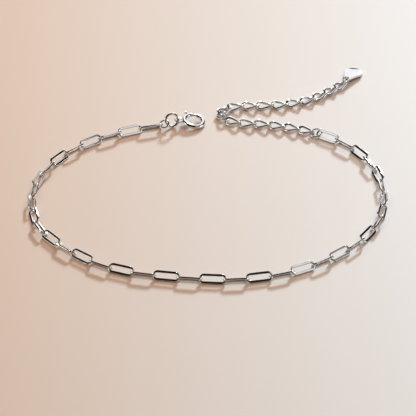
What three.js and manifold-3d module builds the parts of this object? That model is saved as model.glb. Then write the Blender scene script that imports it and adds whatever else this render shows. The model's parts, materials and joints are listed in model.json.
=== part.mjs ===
// A fine silver bracelet lying open on a table: paperclip links, a spring ring clasp
// and a curb extension with a tag.
// Millimetres, +Z up, +X to the right and +Y to the back of the bracelet as it lies.
import * as THREE from "three";
import { mergeVertices } from "three/addons/utils/BufferGeometryUtils.js";
import Module from "manifold-3d";

const wasm = await Module();
wasm.setup();

// Main chain: flattened round-ended links that lean to either side in turn
const LINK_LENGTH = 5.3;
const LINK_WIDTH = 2.0;
const LINK_WIRE = 0.42;
const LINK_THICKNESS = 0.36;
const LINK_PLAY = 0.08;
const LINK_PITCH = LINK_LENGTH - 2 * LINK_WIRE - LINK_PLAY;
const LINK_LEAN = 45;
const FRONT_LEAN = 38;
const FRONT_FIRST = 11;
const FRONT_LAST = 23;
const LINK_SIDES = 12;
const WIRE_SIDES = 6;
const WIRE_FULLNESS = 1.05;

// Route of the main chain: it starts at the clasp and runs left round the loop
const CHAIN_START = new THREE.Vector2(-9.3, 29.4);
const CHAIN_HEADING = 196.4;
const CHAIN_BENDS = [
  { links: 3, turn: 5.74 },
  { links: 3, turn: 8.95 },
  { links: 3, turn: 9.87 },
  { links: 2, turn: 8.5 },
  { links: 2, turn: 13.17 },
  { links: 2, turn: 6.01 },
  { links: 3, turn: 9.28 },
  { links: 3, turn: 2.89 },
  { links: 4, turn: 7.97 },
  { links: 3, turn: 7.27 },
  { links: 3, turn: 9.93 },
  { links: 2, turn: 7.6 },
  { links: 2, turn: 8.54 },
  { links: 3, turn: 11.18 },
];

// Round rings that join the runs: size, place of the middle and the way each ring faces
const RING_SIDES = 16;
const ROUND_RINGS = [
  { name: "small_ring", outer: 2.1, wire: 0.32, at: [-8.68, 29.56, 0.96], faces: [-0.15, -0.38, 0.91] },
  { name: "jump_ring", outer: 3.05, wire: 0.45, at: [-7.2, 30.16, 1.46], faces: [0.24, -0.9, 0.38] },
  { name: "joining_ring", outer: 2.7, wire: 0.34, at: [21.51, 26.61, 0.71], faces: [-0.16, -0.15, 0.98] },
  { name: "tag_ring", outer: 1.7, wire: 0.3, at: [28.04, 46.7, 0.91], faces: [0.81, -0.47, 0.35] },
];

// Spring ring clasp: a hollow tube with a gap that a sliding bolt closes. Angles run round the ring
const CLASP_RADIUS = 1.9;
const CLASP_TUBE = 0.42;
const CLASP_BORE = 0.31;
const CLASP_CENTRE = new THREE.Vector2(-2.86, 30.95);
const CLASP_NORMAL = new THREE.Vector3(0.172, -0.103, 0.98).normalize();
const CLASP_STEPS = 24;
const GAP_FROM = 70;
const GAP_TO = 102;
const BOLT_RADIUS = 0.2;
const BOLT_FROM = 64;
const BOLT_TO = 140;
const BOLT_TRAVEL = 34;
const KNOB_AT = 126;
const KNOB_STEM = 0.13;
const KNOB_HEAD = 0.24;
const KNOB_REACH = 2.95;
const SLOT_SPARE = 8;
const SLOT_WIDTH = 0.4;
const SLOT_DEPTH = 0.6;
const EYE_AT = 188;
const EYE_OUTER = 1.8;
const EYE_WIRE = 0.36;
const EYE_SOLDER = 0.2;

// Extension: twisted curb links that run left, fold and come back to the tag
const CURB_LENGTH = 3.68;
const CURB_WIDTH = 2.2;
const CURB_WIRE = 0.46;
const CURB_PITCH = 3.0;
const CURB_TWIST = 45;
const CURB_START = new THREE.Vector2(20.95, 26.9);
const CURB_HEADINGS = [158, 161, 167, 171, 175, 160, 117, 52, 12, 1, 3, 10, 18, 28, 41, 43, 52];

// Tag: a flat drop-shaped plate, its narrow end lifted by the ring through its hole
const TAG_LENGTH = 6.0;
const TAG_WIDTH = 3.7;
const TAG_NECK = 1.3;
const TAG_HOLE = 0.9;
const TAG_THICKNESS = 0.5;
const TAG_BEVEL = 0.08;
const TAG_STEPS = 10;
const TAG_HEADING = 66;
const TAG_TILT = 7;
const TAG_REACH = 0.98;
const TAG_REACH_HEADING = 60;

const DEGREE = Math.PI / 180;
const UP = new THREE.Vector3(0, 0, 1);
const SILVER = 0xc9c9cc;

// Shapes

function solid(geometry) {
  const bare = geometry.clone();
  bare.deleteAttribute("normal");
  bare.deleteAttribute("uv");
  const merged = mergeVertices(bare, 1e-4);
  const vertProperties = new Float32Array(merged.attributes.position.array);
  const triVerts = new Uint32Array(merged.index.array);
  return new wasm.Manifold(new wasm.Mesh({ numProp: 3, vertProperties, triVerts }));
}

function geometryOf(body) {
  const mesh = body.getMesh();
  const geometry = new THREE.BufferGeometry();
  geometry.setAttribute("position", new THREE.BufferAttribute(new Float32Array(mesh.vertProperties), 3));
  geometry.setIndex(new THREE.BufferAttribute(new Uint32Array(mesh.triVerts), 1));
  return geometry;
}

function pieceOf(name, geometry) {
  const material = new THREE.MeshStandardMaterial({ color: SILVER, metalness: 1, roughness: 0.15 });
  const piece = new THREE.Mesh(geometry, material);
  piece.name = name;
  return piece;
}

function groupOf(name) {
  const group = new THREE.Group();
  group.name = name;
  return group;
}

function along(point, heading, distance) {
  const angle = heading * DEGREE;
  return new THREE.Vector2(point.x + distance * Math.cos(angle), point.y + distance * Math.sin(angle));
}

// A closed link with round ends in the XY plane: a ring pulled apart along X
function pulledRing(length, width, wire, thickness) {
  const radius = (width - wire) / 2 / Math.cos(Math.PI / LINK_SIDES);
  const link = new THREE.TorusGeometry(radius, wire / 2, WIRE_SIDES, LINK_SIDES);
  link.rotateZ(Math.PI / LINK_SIDES);
  link.scale(1, 1, thickness / (wire * Math.cos(Math.PI / WIRE_SIDES)));
  const spread = (length - width) / 2;
  const place = link.attributes.position;
  for (let i = 0; i < place.count; i++) {
    place.setX(i, place.getX(i) + Math.sign(place.getX(i)) * spread);
  }
  return link;
}

// A link twisted about its length, so that its two ends lean opposite ways
function twisted(link, length, degrees) {
  const place = link.attributes.position;
  for (let i = 0; i < place.count; i++) {
    const angle = (-degrees * DEGREE * place.getX(i)) / (length / 2);
    const y = place.getY(i);
    const z = place.getZ(i);
    place.setY(i, y * Math.cos(angle) - z * Math.sin(angle));
    place.setZ(i, y * Math.sin(angle) + z * Math.cos(angle));
  }
  return link;
}

function roundRing(outer, wire) {
  return new THREE.TorusGeometry((outer - wire) / 2, (wire / 2) * WIRE_FULLNESS, WIRE_SIDES, RING_SIDES);
}

class Arc extends THREE.Curve {
  constructor(radius, from, to) {
    super();
    this.radius = radius;
    this.from = from * DEGREE;
    this.sweep = (to - from) * DEGREE;
  }
  getPoint(t, target = new THREE.Vector3()) {
    const angle = this.from + this.sweep * t;
    return target.set(this.radius * Math.cos(angle), this.radius * Math.sin(angle), 0);
  }
}

function arcBar(section, radius, from, to, steps) {
  return solid(new THREE.ExtrudeGeometry(section, { steps, extrudePath: new Arc(radius, from, to) }));
}

function roundSection(radius, sides) {
  const corners = [];
  for (let i = 0; i < sides; i++) {
    const angle = ((i + 0.5) * 2 * Math.PI) / sides;
    corners.push(new THREE.Vector2(radius * Math.cos(angle), radius * Math.sin(angle)));
  }
  return new THREE.Shape(corners);
}

function boxSection(width, depth) {
  const corners = [
    new THREE.Vector2(-width / 2, -depth / 2),
    new THREE.Vector2(width / 2, -depth / 2),
    new THREE.Vector2(width / 2, depth / 2),
    new THREE.Vector2(-width / 2, depth / 2),
  ];
  return new THREE.Shape(corners);
}

// Sets a piece down so that its lowest point is on the table
function setDown(piece) {
  piece.position.z = 0;
  piece.updateMatrixWorld(true);
  piece.position.z = -new THREE.Box3().setFromObject(piece, true).min.z;
}

// Links lean outwards and inwards in turn, and the inward ones at the front lie flatter
function leanOf(number) {
  if (number % 2 === 0) {
    return LINK_LEAN;
  }
  const atFront = number >= FRONT_FIRST && number <= FRONT_LAST;
  return atFront ? -FRONT_LEAN : -LINK_LEAN;
}

// Main chain
const mainChain = groupOf("main_chain");
const linkShape = pulledRing(LINK_LENGTH, LINK_WIDTH, LINK_WIRE, LINK_THICKNESS);
let joint = CHAIN_START;
let heading = CHAIN_HEADING;
let number = 0;
for (const bend of CHAIN_BENDS) {
  for (let i = 0; i < bend.links; i++) {
    heading += number > 0 ? bend.turn : 0;
    const lean = leanOf(number);
    const link = pieceOf("link_" + String(number).padStart(2, "0"), linkShape.clone());
    const middle = along(joint, heading, LINK_PITCH / 2);
    link.position.set(middle.x, middle.y, 0);
    link.rotation.set(lean * DEGREE, 0, heading * DEGREE, "ZYX");
    setDown(link);
    mainChain.add(link);
    joint = along(joint, heading, LINK_PITCH);
    number += 1;
  }
}

// Round rings
const rings = groupOf("rings");
for (const row of ROUND_RINGS) {
  const ring = pieceOf(row.name, roundRing(row.outer, row.wire));
  const normal = new THREE.Vector3(...row.faces).normalize();
  ring.quaternion.setFromUnitVectors(UP, normal);
  ring.position.set(...row.at);
  rings.add(ring);
}

// Spring ring clasp with its soldered eye
const clasp = groupOf("clasp");
const claspRise = CLASP_RADIUS * Math.hypot(CLASP_NORMAL.x, CLASP_NORMAL.y) + CLASP_TUBE;
clasp.quaternion.setFromUnitVectors(UP, CLASP_NORMAL);
clasp.position.set(CLASP_CENTRE.x, CLASP_CENTRE.y, claspRise);
const tube = arcBar(roundSection(CLASP_TUBE, 10), CLASP_RADIUS, GAP_TO, 360 + GAP_FROM, CLASP_STEPS);
const bore = solid(new THREE.TorusGeometry(CLASP_RADIUS, CLASP_BORE, 8, 1.5 * CLASP_STEPS));
const slotFrom = KNOB_AT - SLOT_SPARE;
const slotTo = KNOB_AT + BOLT_TRAVEL + SLOT_SPARE;
const slotRadius = CLASP_RADIUS + SLOT_DEPTH / 2;
const slot = arcBar(boxSection(SLOT_WIDTH, SLOT_DEPTH), slotRadius, slotFrom, slotTo, CLASP_STEPS / 3);
const eyeAt = along(new THREE.Vector2(0, 0), EYE_AT, CLASP_RADIUS + CLASP_TUBE + EYE_OUTER / 2 - EYE_SOLDER);
const eye = solid(roundRing(EYE_OUTER, EYE_WIRE).translate(eyeAt.x, eyeAt.y, 0));
clasp.add(pieceOf("spring_ring", geometryOf(tube.subtract(slot).add(eye).subtract(bore))));

// Bolt with its thumb knob
const bolt = arcBar(roundSection(BOLT_RADIUS, 8), CLASP_RADIUS, BOLT_FROM, BOLT_TO, CLASP_STEPS / 3);
const stem = new THREE.CylinderGeometry(KNOB_STEM, KNOB_STEM, KNOB_REACH - CLASP_RADIUS, 8);
stem.translate(0, (KNOB_REACH + CLASP_RADIUS) / 2, 0);
const head = new THREE.SphereGeometry(KNOB_HEAD, 8, 6);
head.translate(0, KNOB_REACH, 0);
let boltBody = bolt;
for (const shape of [stem, head]) {
  boltBody = boltBody.add(solid(shape.rotateZ((KNOB_AT - 90) * DEGREE)));
}
clasp.add(pieceOf("spring_ring_bolt", geometryOf(boltBody)));

// Extension chain: its links bite where they meet and make one body
const curbShape = twisted(pulledRing(CURB_LENGTH, CURB_WIDTH, CURB_WIRE, CURB_WIRE), CURB_LENGTH, CURB_TWIST);
let curbJoint = CURB_START;
let curbBody = null;
for (const heading of CURB_HEADINGS) {
  const middle = along(curbJoint, heading, CURB_PITCH / 2);
  const link = solid(curbShape.clone().rotateZ(heading * DEGREE).translate(middle.x, middle.y, 0));
  curbBody = curbBody ? curbBody.add(link) : link;
  curbJoint = along(curbJoint, heading, CURB_PITCH);
}
const extension = pieceOf("extension_chain", geometryOf(curbBody));
setDown(extension);

// Tag: two arcs joined by straight sides, with a hole in the narrow end
const bowlRadius = TAG_WIDTH / 2;
const neckRadius = TAG_NECK / 2;
const bowlAt = TAG_LENGTH - bowlRadius - neckRadius;
const sideAngle = Math.acos((neckRadius - bowlRadius) / bowlAt);
const outline = new THREE.Shape();
outline.absarc(bowlAt, 0, bowlRadius, -sideAngle, sideAngle, false);
outline.absarc(0, 0, neckRadius, sideAngle, 2 * Math.PI - sideAngle, false);
const plate = new THREE.ExtrudeGeometry(outline, {
  depth: TAG_THICKNESS - 2 * TAG_BEVEL,
  bevelThickness: TAG_BEVEL,
  bevelSize: TAG_BEVEL,
  bevelOffset: -TAG_BEVEL,
  bevelSegments: 1,
  curveSegments: TAG_STEPS,
});
const hole = new THREE.CylinderGeometry(TAG_HOLE / 2, TAG_HOLE / 2, 4 * TAG_THICKNESS, 12);
hole.rotateX(Math.PI / 2);
const tag = pieceOf("tag", geometryOf(solid(plate).subtract(solid(hole))));
const tagAt = along(curbJoint, TAG_REACH_HEADING, TAG_REACH);
tag.position.set(tagAt.x, tagAt.y, 0);
tag.rotation.set(0, TAG_TILT * DEGREE, TAG_HEADING * DEGREE, "ZYX");
setDown(tag);

// The origin goes under the middle of the whole bracelet
const layout = groupOf("layout");
layout.add(mainChain, rings, clasp, extension, tag);
layout.updateMatrixWorld(true);
const extent = new THREE.Box3().setFromObject(layout, true);
const centre = extent.getCenter(new THREE.Vector3());
layout.position.set(-centre.x, -centre.y, -extent.min.z);

const bracelet = groupOf("bracelet");
bracelet.add(layout);

export default bracelet;
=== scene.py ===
# Looks of a fine silver bracelet on a pale surface: smooth links, rings, clasp, extension and tag.
# Sizes are in millimetres and are turned into metres where a piece is made.
import json
import math

import bpy
import numpy as np
from mathutils import Matrix, Vector


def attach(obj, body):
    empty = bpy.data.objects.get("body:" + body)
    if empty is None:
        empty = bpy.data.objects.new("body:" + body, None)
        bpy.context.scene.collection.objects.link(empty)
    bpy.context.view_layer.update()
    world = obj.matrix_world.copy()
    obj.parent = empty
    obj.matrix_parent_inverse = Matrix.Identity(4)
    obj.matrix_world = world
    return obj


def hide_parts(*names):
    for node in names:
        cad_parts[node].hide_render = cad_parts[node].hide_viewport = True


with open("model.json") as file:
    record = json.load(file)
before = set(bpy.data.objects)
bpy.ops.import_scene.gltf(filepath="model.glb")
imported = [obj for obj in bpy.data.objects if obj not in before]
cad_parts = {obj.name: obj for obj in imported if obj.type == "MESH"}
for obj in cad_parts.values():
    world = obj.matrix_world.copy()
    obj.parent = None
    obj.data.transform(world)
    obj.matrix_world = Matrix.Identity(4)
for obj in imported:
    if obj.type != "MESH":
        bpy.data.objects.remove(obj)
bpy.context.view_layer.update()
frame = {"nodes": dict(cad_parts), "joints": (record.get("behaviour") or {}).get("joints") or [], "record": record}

MM = 0.001
BODY = "bracelet_body"
BOLT_BODY = "clasp_bolt"

# Main chain links: wire with flat faces and rounded edges
LINK_COUNT = 38
LINK_WIRE = 0.51
LINK_THICKNESS = 0.36
LINK_EDGE = 0.09
LINK_END_WIRE = 0.38
LINK_END_EDGE = 0.17
LINK_END_STEPS = 20
LINK_SIDE_STEPS = 4

# Round rings: wire and where the cut of each ring lies
RINGS = [
    {"node": "small_ring", "wire": 0.36, "seam_at": 40},
    {"node": "jump_ring", "wire": 0.5, "seam_at": 75},
    {"node": "joining_ring", "wire": 0.38, "seam_at": 310},
    {"node": "tag_ring", "wire": 0.30, "seam_at": 100},
]
RING_STEPS = 72
WIRE_SIDES = 20
SEAM_WIDTH = 0.03
SEAM_EDGE = 0.03

# Spring ring clasp. Angles run round the ring
CLASP_CENTRE = Vector((-2.86, 30.95))
CLASP_RADIUS = 1.9
CLASP_TUBE = 0.45
CLASP_BORE = 0.31
CLASP_LIP = 0.05
CLASP_STEPS = 120
GAP_FROM = 70
GAP_TO = 102
BOLT_RADIUS = 0.2
BOLT_FROM = 64
BOLT_TO = 140
BOLT_TRAVEL = 34
BOLT_EDGE = 0.1
BOLT_STEPS = 40
KNOB_AT = 126
KNOB_STEM = 0.13
KNOB_HEAD = 0.24
KNOB_REACH = 2.95
SLOT_SPARE = 8
SLOT_WIDTH = 0.4
SLOT_DEPTH = 0.6
SLOT_CORNER = 0.05
SLOT_STEPS = 24
EYE_AT = 188
EYE_OUTER = 1.8
EYE_WIRE = 0.36
EYE_SOLDER = 0.2
CLASP_SHARP = 40

# Extension of twisted curb links
CURB_LENGTH = 3.72
CURB_WIDTH = 2.2
CURB_WIRE = 0.52
CURB_PITCH = 3.0
CURB_TWIST = 45
CURB_START = Vector((20.95, 26.9))
CURB_HEADINGS = [158, 161, 167, 171, 175, 160, 117, 52, 12, 1, 3, 10, 18, 28, 41, 43, 52]

# Tag
TAG_LENGTH = 6.0
TAG_WIDTH = 3.7
TAG_NECK = 1.3
TAG_HOLE = 0.9
TAG_THICKNESS = 0.5
TAG_EDGE = 0.12
TAG_HOLE_EDGE = 0.05
TAG_STEPS = 48
TAG_SHARP = 50

# Surface: its own pale colour with painted light in it, warmer and darker at the left and paler and cooler at the
# right, and painted shade a little darker towards the front
FLOOR_LEFT = (0.62, 0.488, 0.396, 1)
FLOOR_RIGHT = (0.695, 0.745, 0.81, 1)
FLOOR_FRONT_PAINTED_SHADE = 0.9

# Lights: directions are azimuth from the back to the right and elevation, sizes are in metres
KEY = {"direction": (14, 21), "energy": 3.0, "angle": 7, "colour": (0.78, 0.95, 1.0)}
FILL = {
    "direction": (0, 86),
    "distance": 0.9,
    "size": (2.4, 2.4),
    "radiance": 0.85,
    "colour": (1.0, 0.64, 0.4),
}
# Cards light the surface and are seen in the silver
CARDS = [
    {
        "name": "window_back",
        "direction": (2, 36),
        "size": (0.75, 0.85),
        "radiance": 1.1,
        "colour": (0.94, 0.96, 1.0),
    },
    {
        "name": "card_right",
        "direction": (119, 50),
        "size": (0.4, 0.24),
        "radiance": 0.7,
        "colour": (1.0, 0.98, 1.0),
    },
    {
        "name": "card_right_low",
        "direction": (89, 36),
        "size": (0.16, 0.13),
        "radiance": 0.25,
        "colour": (1.0, 0.98, 1.0),
    },
    {
        "name": "card_back_right",
        "direction": (49, 16),
        "size": (0.12, 0.09),
        "radiance": 0.5,
        "colour": (1.0, 0.98, 1.0),
    },
    {
        "name": "card_left",
        "direction": (-105, 46.5),
        "size": (0.1, 0.1),
        "radiance": 0.9,
        "colour": (1.0, 0.98, 0.96),
    },
]
# Glints are seen in the silver only, at the round ends of the links
GLINTS = [
    {
        "name": "glint_right",
        "direction": (96, 13),
        "size": (0.5, 0.26),
        "radiance": 2.5,
        "colour": (1.0, 0.97, 0.94),
    },
    {
        "name": "glint_left",
        "direction": (-96, 13),
        "size": (0.5, 0.26),
        "radiance": 2.5,
        "colour": (1.0, 0.97, 0.94),
    },
]
CARD_DISTANCE = 0.8
ROOM_GLOW = 0.016
ROOM_COLOUR = (1.0, 0.85, 0.72, 1)
LIT_MIDDLE = Vector((0, -0.012, 0))

# Camera of the photo, on the surface's own scale
VIEW_ELEVATION = 32.668
VIEW_DISTANCE = 693.87
VIEW_LENS_PIXELS = 3600
VIEW_PIXELS = 416
VIEW_SENSOR = 36


# Frames of the nodes

def node_points(node):
    points = np.array([v.co for v in frame["nodes"][node].data.vertices], float)
    return np.unique(points.round(7), axis=0)


def node_frame(node):
    """Middle, axes (longest first) and extents of a node, in metres."""
    points = node_points(node)
    middle = points.mean(0)
    axes = np.linalg.eigh(np.cov((points - middle).T))[1].T[::-1]
    axes[2] = np.cross(axes[0], axes[1])
    spans = (points - middle) @ axes.T
    centre = middle + ((spans.max(0) + spans.min(0)) / 2) @ axes
    return centre, axes, np.ptp(spans, axis=0)


def placed(centre, axes):
    """Matrix that takes millimetres along the axes to metres round the centre."""
    matrix = Matrix(np.array(axes).T.tolist()).to_4x4() @ Matrix.Scale(MM, 4)
    matrix.translation = Vector(centre)
    return matrix


# Meshes

def piece(name, verts, faces, matrix):
    mesh = bpy.data.meshes.new(name)
    mesh.from_pydata([tuple(v) for v in verts], [], faces)
    mesh.transform(matrix)
    mesh.update()
    mesh.shade_smooth()
    made = bpy.data.objects.new(name, mesh)
    bpy.context.scene.collection.objects.link(made)
    return made


def loft(rows, closed):
    """Points and faces of a skin through rows of points, each row a closed round."""
    rows = np.array(rows, float)
    count, sides = rows.shape[:2]
    faces = []
    for i in range(count if closed else count - 1):
        here = i * sides
        there = (i + 1) % count * sides
        for j in range(sides):
            k = (j + 1) % sides
            faces.append((here + j, there + j, there + k, here + k))
    if not closed:
        faces.append(tuple(range(sides)))
        faces.append(tuple(reversed(range((count - 1) * sides, count * sides))))
    return rows.reshape(-1, 3), faces


def joined(parts):
    """Several skins as one list of points and faces."""
    verts, faces = [], []
    for more_verts, more_faces in parts:
        start = len(verts)
        verts.extend(more_verts)
        faces.extend(tuple(start + i for i in face) for face in more_faces)
    return verts, faces


def link_path(length, width):
    """Middle line of a link with round ends: rows of x, y and the outward direction."""
    radius = width / 2
    spread = length / 2 - radius
    path = []
    for side in (1, -1):
        for i in range(LINK_END_STEPS + 1):
            angle = math.radians(180 * i / LINK_END_STEPS - 90 * side)
            out = (math.cos(angle), math.sin(angle))
            path.append((side * spread + radius * out[0], radius * out[1], *out))
        for i in range(1, LINK_SIDE_STEPS):
            x = side * spread * (1 - 2 * i / LINK_SIDE_STEPS)
            path.append((x, side * radius, 0.0, float(side)))
    return path


def flat_section(width, height, edge):
    """A wire's section with flat faces and round edges: rows of out and up."""
    section = []
    steps = 5
    hold = edge / 4
    for corner, (a, b) in enumerate([(1, 1), (-1, 1), (-1, -1), (1, -1)]):
        middle = (a * (width / 2 - edge), b * (height / 2 - edge))
        arc = []
        for i in range(steps + 1):
            angle = math.radians(90 * corner + 90 * i / steps)
            arc.append((middle[0] + edge * math.cos(angle), middle[1] + edge * math.sin(angle)))
        back = math.radians(90 * corner - 90)
        ahead = math.radians(90 * corner + 180)
        section.append((arc[0][0] + hold * math.cos(back), arc[0][1] + hold * math.sin(back)))
        section.extend(arc)
        section.append((arc[-1][0] + hold * math.cos(ahead), arc[-1][1] + hold * math.sin(ahead)))
    return section


def round_section(radius, sides=WIRE_SIDES):
    turns = [2 * math.pi * i / sides for i in range(sides)]
    return [(radius * math.cos(t), radius * math.sin(t)) for t in turns]


def wire_link(length, width, wire, section_at):
    """Skin of a link. section_at gives the wire's section for a share of the way into a round end."""
    rows = []
    for x, y, out_x, out_y in link_path(length - wire, width - wire):
        section = section_at(abs(out_x))
        rows.append([(x + out_x * u, y + out_y * u, w) for u, w in section])
    return loft(rows, True)


def pressed_section(share):
    """Section of a main link's wire: flat along the sides, round at the ends."""
    ease = share * share * (3 - 2 * share)
    wire = LINK_WIRE + (LINK_END_WIRE - LINK_WIRE) * ease
    edge = LINK_EDGE + (LINK_END_EDGE - LINK_EDGE) * ease
    return flat_section(wire, LINK_THICKNESS, edge)


def ring_row(radius, angle, section, centre=(0.0, 0.0)):
    """One round of a ring's skin at an angle."""
    turn = math.radians(angle)
    out = (math.cos(turn), math.sin(turn))
    row = []
    for u, w in section:
        reach = radius + u
        row.append((centre[0] + reach * out[0], centre[1] + reach * out[1], w))
    return row


def bar_rows(radius, from_angle, to_angle, thickness, edge, steps):
    """Rows of a round bar bent round the ring, with round edges at both ends."""
    degrees = math.degrees(1 / radius)
    rows = []
    ends = [(0, 0.0), (30, 0.5), (60, 0.866), (90, 1.0)]
    for tilt, share in ends:
        angle = from_angle + edge * (1 - math.cos(math.radians(tilt))) * degrees
        rows.append(ring_row(radius, angle, round_section(thickness - edge * (1 - share))))
    first = from_angle + edge * degrees
    last = to_angle - edge * degrees
    for i in range(1, steps):
        rows.append(ring_row(radius, first + (last - first) * i / steps, round_section(thickness)))
    for tilt, share in reversed(ends):
        angle = to_angle - edge * (1 - math.cos(math.radians(tilt))) * degrees
        rows.append(ring_row(radius, angle, round_section(thickness - edge * (1 - share))))
    return rows


def tube_rows(radius, from_angle, to_angle, outer, bore, lip, steps):
    """Rows of a hollow tube bent round the ring, with a rolled lip at both ends."""
    degrees = math.degrees(1 / radius)
    wall = (outer - bore) / 2
    middle = (outer + bore) / 2
    rows = []
    first = from_angle + lip * degrees
    last = to_angle - lip * degrees
    for i in range(steps + 1):
        rows.append((first + (last - first) * i / steps, outer))
    for tilt in (30, 60, 90, 120, 150):
        turn = math.radians(tilt)
        rows.append((to_angle - lip * (1 - math.sin(turn)) * degrees, middle + wall * math.cos(turn)))
    for i in range(steps, -1, -1):
        rows.append((first + (last - first) * i / steps, bore))
    for tilt in (150, 120, 90, 60, 30):
        turn = math.radians(tilt)
        rows.append((from_angle + lip * (1 - math.sin(turn)) * degrees, middle + wall * math.cos(turn)))
    return [ring_row(radius, angle, round_section(size)) for angle, size in rows]


def combine(target, other, operation):
    """Joins or cuts two pieces into the first and removes the second."""
    step = target.modifiers.new(operation, "BOOLEAN")
    step.operation = operation
    step.solver = "EXACT"
    step.object = other
    graph = bpy.context.evaluated_depsgraph_get()
    result = bpy.data.meshes.new_from_object(target.evaluated_get(graph))
    target.modifiers.clear()
    target.data = result
    bpy.data.objects.remove(other)


# Silver

def silver_material():
    material = bpy.data.materials.new("polished_silver")
    material.use_nodes = True
    nodes = material.node_tree.nodes
    links = material.node_tree.links
    shader = nodes["Principled BSDF"]
    shader.inputs["Metallic"].default_value = 1.0
    place = nodes.new("ShaderNodeTexCoord")
    cloud = nodes.new("ShaderNodeTexNoise")
    cloud.inputs["Scale"].default_value = 420
    cloud.inputs["Detail"].default_value = 4
    links.new(place.outputs["Object"], cloud.inputs["Vector"])
    tint = nodes.new("ShaderNodeValToRGB")
    tint.color_ramp.elements[0].position = 0.3
    tint.color_ramp.elements[0].color = (0.83, 0.825, 0.83, 1)
    tint.color_ramp.elements[1].position = 0.7
    tint.color_ramp.elements[1].color = (0.93, 0.925, 0.925, 1)
    links.new(cloud.outputs["Fac"], tint.inputs["Fac"])
    links.new(tint.outputs["Color"], shader.inputs["Base Color"])
    polish = nodes.new("ShaderNodeMapRange")
    polish.inputs["To Min"].default_value = 0.03
    polish.inputs["To Max"].default_value = 0.09
    links.new(cloud.outputs["Fac"], polish.inputs["Value"])
    links.new(polish.outputs["Result"], shader.inputs["Roughness"])
    grain = nodes.new("ShaderNodeTexNoise")
    grain.inputs["Scale"].default_value = 9000
    grain.inputs["Detail"].default_value = 3
    links.new(place.outputs["Object"], grain.inputs["Vector"])
    bump = nodes.new("ShaderNodeBump")
    bump.inputs["Strength"].default_value = 0.15
    bump.inputs["Distance"].default_value = 0.000004
    links.new(grain.outputs["Fac"], bump.inputs["Height"])
    links.new(bump.outputs["Normal"], shader.inputs["Normal"])
    return material


silver = silver_material()


def finish_piece(made, body, node, sharp=None):
    made.data.materials.clear()
    made.data.materials.append(silver)
    made.data.shade_smooth()
    if sharp is not None:
        made.data.set_sharp_from_angle(angle=math.radians(sharp))
    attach(made, body)
    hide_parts(node)


# Main chain
for number in range(LINK_COUNT):
    node = f"link_{number:02d}"
    centre, axes, spans = node_frame(node)
    verts, faces = wire_link(spans[0] / MM, spans[1] / MM, LINK_WIRE, pressed_section)
    finish_piece(piece(f"{node}_polished", verts, faces, placed(centre, axes)), BODY, node)

# Round rings
for row in RINGS:
    centre, axes, spans = node_frame(row["node"])
    normal = Vector(axes[2])
    level = normal.cross(Vector((0, 0, 1))).normalized()
    axes = [level, normal.cross(level), normal]
    outer = spans[0] / MM
    radius = (outer - row["wire"]) / 2
    half_seam = math.degrees(SEAM_WIDTH / 2 / radius)
    start = row["seam_at"] + half_seam
    stop = row["seam_at"] + 360 - half_seam
    rows = bar_rows(radius, start, stop, row["wire"] / 2, SEAM_EDGE, RING_STEPS)
    verts, faces = loft(rows, False)
    finish_piece(piece(row["node"] + "_polished", verts, faces, placed(centre, axes)), BODY, row["node"])

# Spring ring clasp
hinge = frame["joints"][0]
clasp_at = Vector(hinge["pos_m"])
clasp_turn = Vector((0, 0, 1)).rotation_difference(Vector(hinge["axis"]))
clasp_axes = clasp_turn.to_matrix().transposed()
clasp_place = placed(clasp_at, clasp_axes)
upright = Matrix.Identity(4)

tube = tube_rows(CLASP_RADIUS, GAP_TO, 360 + GAP_FROM, CLASP_TUBE, CLASP_BORE, CLASP_LIP, CLASP_STEPS)
clasp = piece("spring_ring_polished", *loft(tube, True), upright)
slot_rows = []
slot_from = KNOB_AT - SLOT_SPARE
slot_to = KNOB_AT + BOLT_TRAVEL + SLOT_SPARE
slot_section = flat_section(SLOT_DEPTH, SLOT_WIDTH, SLOT_CORNER)
for i in range(SLOT_STEPS + 1):
    angle = slot_from + (slot_to - slot_from) * i / SLOT_STEPS
    slot_rows.append(ring_row(CLASP_RADIUS + SLOT_DEPTH / 2, angle, slot_section))
combine(clasp, piece("slot", *loft(slot_rows, False), upright), "DIFFERENCE")
eye_reach = CLASP_RADIUS + CLASP_TUBE + EYE_OUTER / 2 - EYE_SOLDER
eye_turn = math.radians(EYE_AT)
eye_centre = (eye_reach * math.cos(eye_turn), eye_reach * math.sin(eye_turn))
eye_radius = (EYE_OUTER - EYE_WIRE) / 2
eye_rows = []
for i in range(RING_STEPS):
    eye_rows.append(ring_row(eye_radius, 360 * i / RING_STEPS, round_section(EYE_WIRE / 2), eye_centre))
combine(clasp, piece("eye", *loft(eye_rows, True), upright), "UNION")
clasp.data.transform(clasp_place)
finish_piece(clasp, BODY, "spring_ring", CLASP_SHARP)

# Bolt with its thumb knob
bolt_rows = bar_rows(CLASP_RADIUS, BOLT_FROM, BOLT_TO, BOLT_RADIUS, BOLT_EDGE, BOLT_STEPS)
bolt = piece("spring_ring_bolt_polished", *loft(bolt_rows, False), upright)
knob_profile = [
    (0.0, KNOB_STEM),
    (0.55, KNOB_STEM),
    (0.68, 0.17),
    (0.8, 0.22),
    (0.9, KNOB_HEAD),
    (1.1, KNOB_HEAD),
    (1.19, 0.2),
    (1.24, 0.12),
]
knob_rows = []
knob_turn = math.radians(KNOB_AT)
knob_out = np.array([math.cos(knob_turn), math.sin(knob_turn), 0])
knob_side = np.array([-math.sin(knob_turn), math.cos(knob_turn), 0])
knob_up = np.array([0, 0, 1])
for reach, size in knob_profile:
    middle = knob_out * (CLASP_RADIUS + reach * (KNOB_REACH - CLASP_RADIUS))
    knob_rows.append([middle + knob_side * u + knob_up * w for u, w in round_section(size)])
combine(bolt, piece("knob", *loft(knob_rows, False), upright), "UNION")
bolt.data.transform(clasp_place)
finish_piece(bolt, BOLT_BODY, "spring_ring_bolt", CLASP_SHARP)

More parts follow.
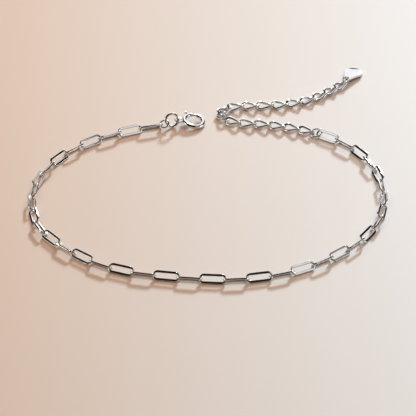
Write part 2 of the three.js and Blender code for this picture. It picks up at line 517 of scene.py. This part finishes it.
# Extension chain
layout = Vector((clasp_at.x / MM - CLASP_CENTRE.x, clasp_at.y / MM - CLASP_CENTRE.y))
curb_section = round_section(CURB_WIRE / 2)
curb_verts, curb_faces = wire_link(CURB_LENGTH, CURB_WIDTH, CURB_WIRE, lambda share: curb_section)
twist = np.radians(-CURB_TWIST * curb_verts[:, 0] / (CURB_LENGTH / 2))
twisted = np.stack([
    curb_verts[:, 0],
    curb_verts[:, 1] * np.cos(twist) - curb_verts[:, 2] * np.sin(twist),
    curb_verts[:, 1] * np.sin(twist) + curb_verts[:, 2] * np.cos(twist),
], axis=1)
curb_height = -twisted[:, 2].min()
curb_links = []
joint = CURB_START + layout
for heading in CURB_HEADINGS:
    turn = math.radians(heading)
    step = Vector((math.cos(turn), math.sin(turn))) * CURB_PITCH
    spin = np.array([
        [math.cos(turn), -math.sin(turn), 0],
        [math.sin(turn), math.cos(turn), 0],
        [0, 0, 1],
    ])
    middle = joint + step / 2
    curb_links.append((twisted @ spin.T + (middle.x, middle.y, curb_height), curb_faces))
    joint = joint + step
verts, faces = joined(curb_links)
extension = piece("extension_chain_polished", verts, faces, Matrix.Scale(MM, 4))
finish_piece(extension, BODY, "extension_chain")

# Tag: rounds from the hole over the top face, the edge and the under face
bowl_radius = TAG_WIDTH / 2
neck_radius = TAG_NECK / 2
bowl_at = TAG_LENGTH - bowl_radius - neck_radius
side_angle = math.acos((neck_radius - bowl_radius) / bowl_at)


def tag_outline(inset):
    points = []
    for centre_x, radius, start, stop in (
        (bowl_at, bowl_radius - inset, -side_angle, side_angle),
        (0.0, neck_radius - inset, side_angle, 2 * math.pi - side_angle),
    ):
        for i in range(TAG_STEPS + 1):
            angle = start + (stop - start) * i / TAG_STEPS
            points.append((centre_x + radius * math.cos(angle), radius * math.sin(angle)))
    return points


def hole_outline(radius):
    points = []
    for x, y in tag_outline(0):
        size = math.hypot(x, y)
        points.append((radius * x / size, radius * y / size))
    return points


tag_rows = []
half = TAG_THICKNESS / 2
for side in (1, -1):
    rows = []
    for tilt in (0, 30, 60, 90):
        turn = math.radians(tilt)
        ring = hole_outline(TAG_HOLE / 2 + TAG_HOLE_EDGE * (1 - math.cos(turn)))
        level = half - TAG_HOLE_EDGE * (1 - math.sin(turn))
        rows.append([(x, y, side * level) for x, y in ring])
    for tilt in (90, 67, 45, 22, 0):
        turn = math.radians(tilt)
        ring = tag_outline(TAG_EDGE * (1 - math.cos(turn)))
        level = half - TAG_EDGE * (1 - math.sin(turn))
        rows.append([(x, y, side * level) for x, y in ring])
    tag_rows.extend(rows if side == 1 else reversed(rows))
tag_centre, tag_axes = node_frame("tag")[:2]
tag_normal = Vector(frame["record"]["mounts"][0]["axis"])
ring_centre = node_frame("tag_ring")[0]
tag_along = Vector(tag_axes[0])
if tag_along.dot(Vector(tag_centre - ring_centre)) < 0:
    tag_along = -tag_along
tag_across = tag_normal.cross(tag_along)
tag_origin = Vector(tag_centre) - tag_along * (TAG_LENGTH / 2 - neck_radius) * MM
tag_place = placed(tag_origin, [tag_along, tag_across, tag_normal])
tag = piece("tag_polished", *loft(tag_rows, True), tag_place)
finish_piece(tag, BODY, "tag", TAG_SHARP)

# Surface, lights and camera

def floor_material():
    material = bpy.data.materials.new("pale_surface")
    material.use_nodes = True
    nodes = material.node_tree.nodes
    links = material.node_tree.links
    shader = nodes["Principled BSDF"]
    shader.inputs["Roughness"].default_value = 0.6
    place = nodes.new("ShaderNodeTexCoord")
    split = nodes.new("ShaderNodeSeparateXYZ")
    links.new(place.outputs["Object"], split.inputs["Vector"])
    across = nodes.new("ShaderNodeMapRange")
    across.inputs["From Min"].default_value = -0.045
    across.inputs["From Max"].default_value = 0.045
    links.new(split.outputs["X"], across.inputs["Value"])
    # Painted light: the ramp runs from a warmer, darker colour at the left to a paler, cooler one at the right
    tint = nodes.new("ShaderNodeValToRGB")
    tint.color_ramp.elements[0].color = FLOOR_LEFT
    tint.color_ramp.elements[1].color = FLOOR_RIGHT
    links.new(across.outputs["Result"], tint.inputs["Fac"])
    # Painted shade: the floor colour is scaled darker towards the front
    painted_front_shade = nodes.new("ShaderNodeMapRange")
    painted_front_shade.inputs["From Min"].default_value = -0.09
    painted_front_shade.inputs["From Max"].default_value = 0.03
    painted_front_shade.inputs["To Min"].default_value = FLOOR_FRONT_PAINTED_SHADE
    links.new(split.outputs["Y"], painted_front_shade.inputs["Value"])
    shade = nodes.new("ShaderNodeVectorMath")
    shade.operation = "SCALE"
    links.new(tint.outputs["Color"], shade.inputs[0])
    links.new(painted_front_shade.outputs["Result"], shade.inputs["Scale"])
    links.new(shade.outputs["Vector"], shader.inputs["Base Color"])
    return material


bpy.ops.mesh.primitive_grid_add(x_subdivisions=8, y_subdivisions=8, size=6)
floor = bpy.context.object
floor.name = "surface"
floor.data.materials.append(floor_material())


def aimed(light, direction, distance, target):
    """Puts a light at a distance in a direction and turns it to the target."""
    azimuth, elevation = (math.radians(a) for a in direction)
    out = Vector((
        math.sin(azimuth) * math.cos(elevation),
        math.cos(azimuth) * math.cos(elevation),
        math.sin(elevation),
    ))
    light.location = target + out * distance
    light.rotation_mode = "QUATERNION"
    light.rotation_quaternion = out.to_track_quat("Z", "Y")


def area_light(name, row, distance):
    data = bpy.data.lights.new(name, "AREA")
    data.shape = "RECTANGLE"
    data.size, data.size_y = row["size"]
    data.energy = row["radiance"] * math.pi * data.size * data.size_y
    data.color = row["colour"]
    light = bpy.data.objects.new(name, data)
    bpy.context.scene.collection.objects.link(light)
    aimed(light, row["direction"], distance, LIT_MIDDLE)
    return light


sun_data = bpy.data.lights.new("key", "SUN")
sun_data.energy = KEY["energy"]
sun_data.angle = math.radians(KEY["angle"])
sun_data.color = KEY["colour"]
sun = bpy.data.objects.new("key", sun_data)
bpy.context.scene.collection.objects.link(sun)
aimed(sun, KEY["direction"], 1.0, Vector((0, 0, 0)))
for row in CARDS:
    area_light(row["name"], row, CARD_DISTANCE)
for row in GLINTS:
    area_light(row["name"], row, CARD_DISTANCE).visible_diffuse = False
fill = area_light("fill_top", FILL, FILL["distance"])
fill.visible_glossy = False

world = bpy.data.worlds.new("studio")
world.use_nodes = True
world.node_tree.nodes["Background"].inputs["Color"].default_value = ROOM_COLOUR
world.node_tree.nodes["Background"].inputs["Strength"].default_value = ROOM_GLOW
bpy.context.scene.world = world
bpy.context.scene.view_settings.view_transform = "Standard"

camera_data = bpy.data.cameras.new("camera")
camera_data.sensor_width = VIEW_SENSOR
camera_data.lens = VIEW_LENS_PIXELS / VIEW_PIXELS * VIEW_SENSOR
camera_data.clip_start = 0.01
camera_data.clip_end = 20
camera = bpy.data.objects.new("camera", camera_data)
bpy.context.scene.collection.objects.link(camera)
tilt = math.radians(VIEW_ELEVATION)
target = Vector((layout.x, layout.y, 0)) * MM
camera.location = target + Vector((0, -math.cos(tilt), math.sin(tilt))) * VIEW_DISTANCE * MM
camera.rotation_euler = (math.pi / 2 - tilt, 0, 0)
bpy.context.scene.camera = camera
